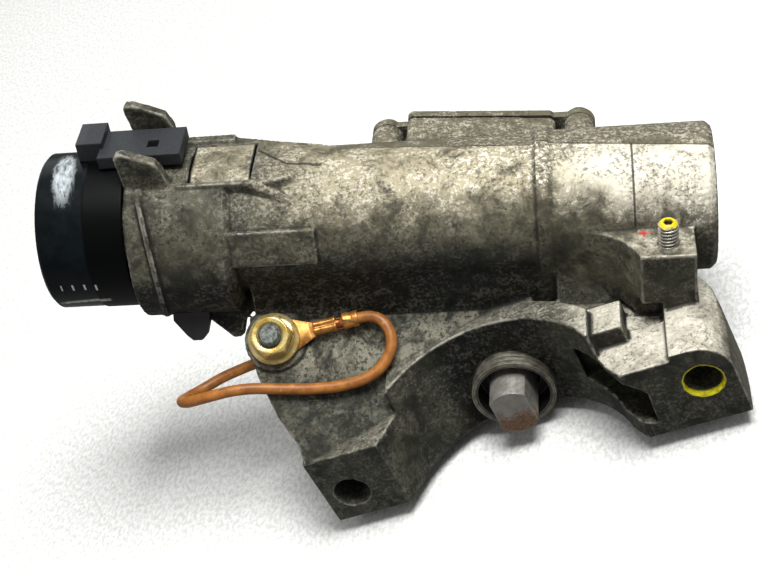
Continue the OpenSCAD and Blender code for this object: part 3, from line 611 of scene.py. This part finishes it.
def lead_finish():
    """Earth lead: brown-orange cover with dirty clouds and scuffs, and bare copper at its stripped end."""
    f = Finish("lead_insulation")
    from_start = f.add("ShaderNodeVectorMath", {"operation": "DISTANCE"},
                       {0: f.place, 1: tuple(on_pad(LEAD_KNOTS[0]))}, 1)
    bare = from_start.ramp(BARE_END + 0.2 * MM, BARE_END - 0.2 * MM)
    cloud = f.noise(4, 5, 0.65)
    fleck = f.noise(0.8, 4, 0.7)
    tone = f.mix(cloud.ramp(0.3, 0.7), rgb("88501c"), rgb("b6742e"))
    tone = f.mix(fleck.ramp(0.58, 0.7) * f.noise(7, 3).ramp(0.42, 0.6) * 0.75, tone, rgb("4f3018"))
    tone = f.mix(f.noise(1.6, 4).ramp(0.62, 0.72) * 0.4, tone, rgb("d9a468"))
    tone = f.mix(bare, tone, rgb("b9713f"))
    f.give(Base_Color=tone, Metallic=bare, Roughness=0.34 + 0.2 * cloud, Normal=f.bump(fleck, 0.05, 0.4))
    return f.material


def grub_finish():
    """Grub screw: zinc thread with a dab of yellow paint on its tip."""
    f = Finish("grub_zinc", Metallic=0.85)
    x, y, z = f.tube()
    cloud = f.noise(1.2, 5, 0.65)
    tone = f.mix(cloud.ramp(0.3, 0.7), rgb("a7a397"), rgb("e6e1d3"))
    u = x - float(GRUB_AT[0])
    v = y - float(GRUB_AT[1])
    root = ((u * u + v * v) ** 0.5).ramp(2.45, 2.2) * z.ramp(10.3, 10.1)
    tone = f.mix(root * 0.8, tone, rgb("3b372e"))
    tip = (z + cloud * 1.6).ramp(10.9, 11.2)
    tone = f.mix(tip, tone, f.mix(cloud.ramp(0.4, 0.6), rgb("e9b90f"), rgb("d9cf1c")))
    f.give(Base_Color=tone, Metallic=0.9 - 0.9 * tip, Roughness=0.3 + 0.2 * cloud,
           Normal=f.bump(f.noise(0.3), 0.03, 0.4, f.soft_edges(0.12)))
    return f.material


CASTING = casting_finish("casting_alloy")
FINISHES = {
    "housing": CASTING,
    "catch_insert": casting_finish("insert_alloy", 0.8),
    "back_cover": CASTING,
    "reader_ring": ring_finish(),
    "side_plug": plastic_finish("plug_plastic", "202021", "151516"),
    "switch_body": plastic_finish("switch_plastic", "26262a", "1b1b1d"),
    "switch_rotor": plastic_finish("rotor_plastic", "d9d4c4", "c6c0ae"),
    "wire_socket": plastic_finish("socket_plastic", "d8d2c4", "bfb8a6"),
    "lock_bolt": bolt_finish(),
    "guide_sleeve": sleeve_finish(),
    "grub_screw": grub_finish(),
    "earth_nut": nut_finish(),
    "ring_terminal": copper_finish(),
    "earth_stud": steel_finish("stud_steel", "8b8f88", "343834", 0.35, 0.6, 0.4, 0.15),
    "cover_screws": steel_finish("screw_zinc", "bdbbb5", "93918c", 1.0, 0.9, 0.28, 0.2),
    "lock_barrel": steel_finish("barrel_zinc", "b3b0aa", "8a8883", 2.0, 0.85, 0.32),
    "lock_core": steel_finish("core_zinc", "bdb9b0", "96938c", 1.6, 0.9, 0.28),
    "wafers": steel_finish("wafer_brass", "d2b064", "a98a45", 1.0, 1.0, 0.28),
    "reader_coil": steel_finish("winding_copper", "c07a48", "8f5730", 0.8, 1.0, 0.3),
    "terminals": steel_finish("blade_brass", "d4bd7c", "a98f4f", 1.0, 1.0, 0.26, 0.2),
}
SPARE_STEEL = steel_finish("inner_steel", "a9a7a3", "7d7b77", 1.4, 0.9, 0.32)


def dress(thing, material):
    """Puts one material on all of an object."""
    thing.data.materials.clear()
    thing.data.materials.append(material)


for name, node in NODES.items():
    dress(node, FINISHES.get(name, SPARE_STEEL))


# Earth lead

lead_path = smooth_path(on_pad(LEAD_KNOTS), 6)
bared = np.linalg.norm(lead_path - lead_path[0], axis=1) < BARE_END
rings = sweep(lead_path, np.where(bared, STRAND_RADIUS, LEAD_RADIUS))
lead = piece("earth_lead", *shell(rings))
dress(lead, lead_finish())
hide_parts("earth_wire")


# Fasteners and the ring terminal

def thread(radius, low, high, pitch, depth, socket=0.0):
    """A screw: r = radius less depth times a flat-topped triangle wave of (h / pitch - a / turn).

    Its tip is chamfered, and a socket above 0 sinks a hexagon of that radius into the tip.
    """
    chamfer = depth + 0.25
    socket_depth = 1.6
    heights = np.append(np.arange(low, high, pitch / 10), high)

    def wave(r, h, a):
        saw = np.abs((h / pitch - a / (2 * np.pi)) % 1 * 2 - 1)
        cut = radius - depth * np.clip(saw * 1.5 - 0.3, 0, 1)
        return np.minimum(cut, radius - np.clip(h - (high - chamfer), 0, chamfer))

    rows = turned(np.stack([heights * 0, heights], axis=1), wave, 72)
    if socket:
        wall = [(socket, high), (socket, high - socket_depth)]
        rows = np.concatenate([rows, turned(wall, hexagon(socket), 72)])
    return rows


def hexagon(corner):
    """Changes a radius to a hexagon's, corner to corner, keeping rows that are already smaller."""
    def shape(r, h, a):
        return np.minimum(r, corner * math.cos(math.pi / 6) / np.cos(a % (math.pi / 3) - math.pi / 6))
    return shape


def flange_nut():
    """Flange, cone and hexagon in one turned profile, with the hexagon's corners cut by a chamfer cone."""
    corner = 5.77
    six = hexagon(corner)

    def shape(r, h, a):
        cone = 5.95 - 1.5 * np.clip(h - 5.2, 0, 1)
        return np.where((h > 1.8) & (r > 4.5), np.minimum(six(r, h, a), cone), r)

    flange = [(3.05, 0.3), (3.4, 0), (6.6, 0), (6.9, 0.1), (7, 0.3), (7, 0.7), (6.9, 0.95), (6.6, 1.15)]
    flanks = [(5.9, h) for h in (1.7, 1.82, 2.1, 4.8, 5.1, 5.35, 5.6, 5.85, 6)]
    mouth = [(4.4, 6), (3.7, 5.9), (3.05, 5.3)]
    return turned(flange + flanks + mouth, shape)


def crimp(first, last, section, flare=0.0):
    """A barrel along x: centre + section(a) * (cos a across, sin a up), its ends drawn in and flared."""
    x = np.array([first, first + 0.06, *np.linspace(first + 0.25, last - 0.25, 24), last - 0.06, last])
    a = np.linspace(0, 2 * np.pi, 96, endpoint=False)[None, :]
    near = np.minimum(x - first, last - x)[:, None]
    widened = section(a, x[:, None]) * (1 + flare * np.exp(-(near / 0.7) ** 2))
    r = widened - 0.16 * np.clip(1 - near / 0.2, 0, 1)
    axis_height = 2.0
    along = np.broadcast_to(x[:, None], r.shape)
    return np.stack([along, r * np.cos(a), axis_height + r * np.sin(a)], axis=-1)


def terminal_shells():
    """Ring, tapering tongue, folded wire barrel and wrapped cover barrel, in the terminal's own frame."""
    ring = turned([(3.05, 0.05), (6.05, 0.05), (6.2, 0.2), (6.2, 0.85), (6.05, 1), (3.05, 1)])
    x = np.linspace(3.4, 23.4, 60)[:, None]
    half = np.interp(x, [3.4, 4.4, 7.6, 11, 12.4, 23.4], [4.9, 4.8, 3.4, 1.95, 1.6, 1.5])
    across = np.array([-1, -0.94, 0.94, 1, 1, 0.94, -0.94, -1])[None, :] * half
    up = np.broadcast_to([0.15, 0.05, 0.05, 0.15, 0.86, 0.98, 0.98, 0.86], across.shape)
    tongue = np.stack([np.broadcast_to(x, across.shape), across, up], axis=-1)

    def folded(a, x):
        seam = np.exp(-((a - np.pi / 2) / 0.34) ** 2)
        return 1.9 * (1 - 0.34 * seam) + 0 * x

    def wrapped(a, x):
        past_lap = (a - 1.9 - 0.16 * (x - 21.4)) % (2 * np.pi) / (2 * np.pi)
        return 2.02 + 0.34 * past_lap - 0.12 * np.exp(-((x - 21.5) / 0.5) ** 2)

    return joined(shell(ring, True), shell(tongue), shell(crimp(11.2, 17.3, folded, 0.08)),
                  shell(crimp(19.2, 23.4, wrapped, 0.03)))


def round_stud(points, degrees, lift):
    """From a fastener's own frame to the row frame: turned round the stud and lifted off the pad."""
    angle = math.radians(degrees)
    x, y, h = points.T
    spun = [x * math.cos(angle) - y * math.sin(angle), x * math.sin(angle) + y * math.cos(angle), h + lift]
    return on_pad(STUD_AT + np.stack(spun, axis=1))


def fit(name, points, faces, node, crease=32):
    """A detailed piece that stands for a CAD node of the frame, in that node's finish."""
    made = piece(name, points, faces, crease=crease)
    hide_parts(node)
    dress(made, FINISHES[node])


NUT_TURN, NUT_LIFT = 12, 1.82
TONGUE_TURN, TERMINAL_LIFT = 11, 0.8
points, faces = shell(flange_nut(), True)
fit("flange_nut", round_stud(points, NUT_TURN, NUT_LIFT), faces, "earth_nut")
points, faces = shell(thread(radius=3.0, low=-5.9, high=9.4, pitch=1.0, depth=0.45))
fit("stud_thread", on_pad(STUD_AT + points), faces, "earth_stud")
points, faces = shell(thread(radius=2.6, low=-3.9, high=10.8, pitch=1.0, depth=0.5, socket=1.3))
fit("grub_thread", on_tube(GRUB_AT + points), faces, "grub_screw", 60)
points, faces = terminal_shells()
fit("crimped_terminal", round_stud(points, TONGUE_TURN, TERMINAL_LIFT), faces, "ring_terminal", 40)


# Copies of CAD shells

def welded_copy(source, name):
    """A copy of a CAD node in the scene, whose split corners a modifier welds."""
    made = bpy.data.objects.new(name, source.data.copy())
    bpy.context.scene.collection.objects.link(made)
    made.modifiers.new("weld", "WELD").merge_threshold = WELD_REACH
    return made


def settle(made):
    """Puts what an object's modifiers make in the place of its mesh, and clears them."""
    old = made.data
    made.data = bpy.data.meshes.new_from_object(made.evaluated_get(bpy.context.evaluated_depsgraph_get()))
    made.modifiers.clear()
    bpy.data.meshes.remove(old)
    made.data.name = made.name


# Bolt spring

def bolt_coil():
    """A welded copy of the spring with a mesh of its own, on the frame in place of the CAD spring."""
    made = welded_copy(NODES["bolt_spring"], "bolt_coil")
    settle(made)
    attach(made, "frame")
    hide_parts("bolt_spring")
    dress(made, SPARE_STEEL)
    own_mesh(made)


bolt_coil()


# Casting with the rounded edges and corners of a die

def vertex_array(mesh):
    flat = np.empty(len(mesh.vertices) * 3)
    mesh.vertices.foreach_get("co", flat)
    return flat.reshape(-1, 3)


def evened(source, name, cell):
    """A copy of a CAD node as even quads about cell across, and the same points on the node's own surface."""
    made = welded_copy(source, name)
    even = made.modifiers.new("even", "REMESH")
    even.mode = "VOXEL"
    even.voxel_size = cell
    settle(made)
    hug = made.modifiers.new("hug", "SHRINKWRAP")
    hug.target = source
    hugged = made.evaluated_get(bpy.context.evaluated_depsgraph_get()).to_mesh()
    on_surface = vertex_array(hugged)
    made.modifiers.clear()
    return made, on_surface


def neighbour_means(points, edges, degree):
    """Mean place of each point's neighbours along the edges."""
    near, far = edges.T
    count = len(points)
    total = [np.bincount(near, column[far], count) + np.bincount(far, column[near], count)
             for column in points.T]
    return np.stack(total, axis=1) / degree


def relaxed(points, edges, rounds, faired):
    """Each round moves points half way to their neighbours' mean; fairing pulls and pushes ripples away."""
    degree = np.bincount(edges.ravel(), minlength=len(points))[:, None]
    for step in [0.5] * rounds + [0.5, -0.52] * faired:
        points = points + step * (neighbour_means(points, edges, degree) - points)
    return points


def blended_where(points):
    """Share, 0 to 1, where the die has no hard line: tube bead, platform's end, web and ear's foot."""
    x, y, z = ((points / MM - TUBE_AT) @ np.stack([TUBE_X, TUBE_Y, TUBE_Z], axis=1)).T

    def within(value, low, high, fade=2.0):
        return np.clip(np.minimum(value - low, high - value) / fade, 0, 1)

    outside = np.clip(np.hypot(y, z) - 17, 0, 1)
    bead = 0.6 * within(x, 4, 18) * outside * within(z, -27, 40)
    table_end = within(x, -57, -36) * within(y, -8.5, 9) * within(z, 13, 40)
    web = within(x, -48, -36) * within(y, -40, -11) * within(z, -26, -4)
    ear_foot = within(x, -99, -82) * within(y, -13, -5) * within(z, 13, 20)
    return np.max([bead, table_end, web, ear_foot], axis=0)[:, None]


def rounded_casting():
    """The housing with its edges eased: its points relaxed and faired, then thinned where it is flat.

    The edge attribute is how far, in millimetres, a point sinks from a corner (above 0) or fills one
    (below 0) when it is relaxed further.
    """
    made, face = evened(NODES["housing"], "casting", CASTING_CELL)
    mesh = made.data
    edges = np.empty(len(mesh.edges) * 2, int)
    mesh.edges.foreach_get("vertices", edges)
    edges = edges.reshape(-1, 2)
    share = blended_where(face)
    face = face + share * (relaxed(face, edges, 16, 0) - face)
    mesh.vertices.foreach_set("co", relaxed(face, edges, 1, 6).ravel())
    mesh.update()
    normals = np.empty(len(mesh.vertices) * 3)
    mesh.vertices.foreach_get("normal", normals)
    sunk = ((face - relaxed(face, edges, 10, 0)) * normals.reshape(-1, 3)).sum(axis=1)
    mesh.attributes.new("edge", "FLOAT", "POINT").data.foreach_set("value", sunk / MM)
    mesh.polygons.foreach_set("use_smooth", np.ones(len(mesh.polygons), bool))
    mesh.update()
    thin = made.modifiers.new("thin", "DECIMATE")
    thin.ratio = min(1.0, CASTING_TRIANGLES / (2 * len(mesh.polygons)))
    settle(made)
    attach(made, "frame")
    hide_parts("housing")
    dress(made, CASTING)


rounded_casting()


# Floor and light

def lamp(name, at, aim, size, watts):
    """A square soft lamp at a point, facing another."""
    light = bpy.data.lights.new(name, "AREA")
    light.size = size
    light.energy = watts
    made = bpy.data.objects.new(name, light)
    made.location = at
    made.rotation_euler = (Vector(aim) - Vector(at)).to_track_quat("-Z", "Y").to_euler()
    bpy.context.scene.collection.objects.link(made)


def paper_floor():
    """Flat pale sheet far wider than the object; it throws back less light than it shows to the camera."""
    reach = 3.0
    corners = [(-reach, -reach, 0), (reach, -reach, 0), (reach, reach, 0), (-reach, reach, 0)]
    mesh = bpy.data.meshes.new("floor")
    mesh.from_pydata(corners, [], [(0, 1, 2, 3)])
    made = bpy.data.objects.new("floor", mesh)
    bpy.context.scene.collection.objects.link(made)
    f = Finish("floor_paper", Roughness=0.9)
    seen = f.add("ShaderNodeLightPath", {}, {}, "Is Camera Ray")
    foam = f.noise(1.1, 3, 0.7, stretch=(1, 0.6, 1))
    pale = f.mix(foam.ramp(0.36, 0.62), rgb("dadbd5"), rgb("fafaf8"))
    f.give(Base_Color=f.mix(seen, rgb("8c8c8c"), pale))
    dress(made, f.material)


paper_floor()
MIDDLE = (-0.02, 0.03, 0.05)
lamp("key", (0.26, -0.03, 0.79), MIDDLE, 0.4, 9.5)
lamp("behind", (-0.35, 0.55, 0.55), MIDDLE, 0.5, 1.5)
lamp("left", (-0.6, -0.5, 0.5), MIDDLE, 0.6, 0.8)
world = bpy.data.worlds.new("studio")
world.use_nodes = True
world.node_tree.nodes["Background"].inputs["Color"].default_value = (1, 1, 1, 1)
world.node_tree.nodes["Background"].inputs["Strength"].default_value = 0.2
bpy.context.scene.world = world
bpy.context.scene.view_settings.view_transform = "Standard"
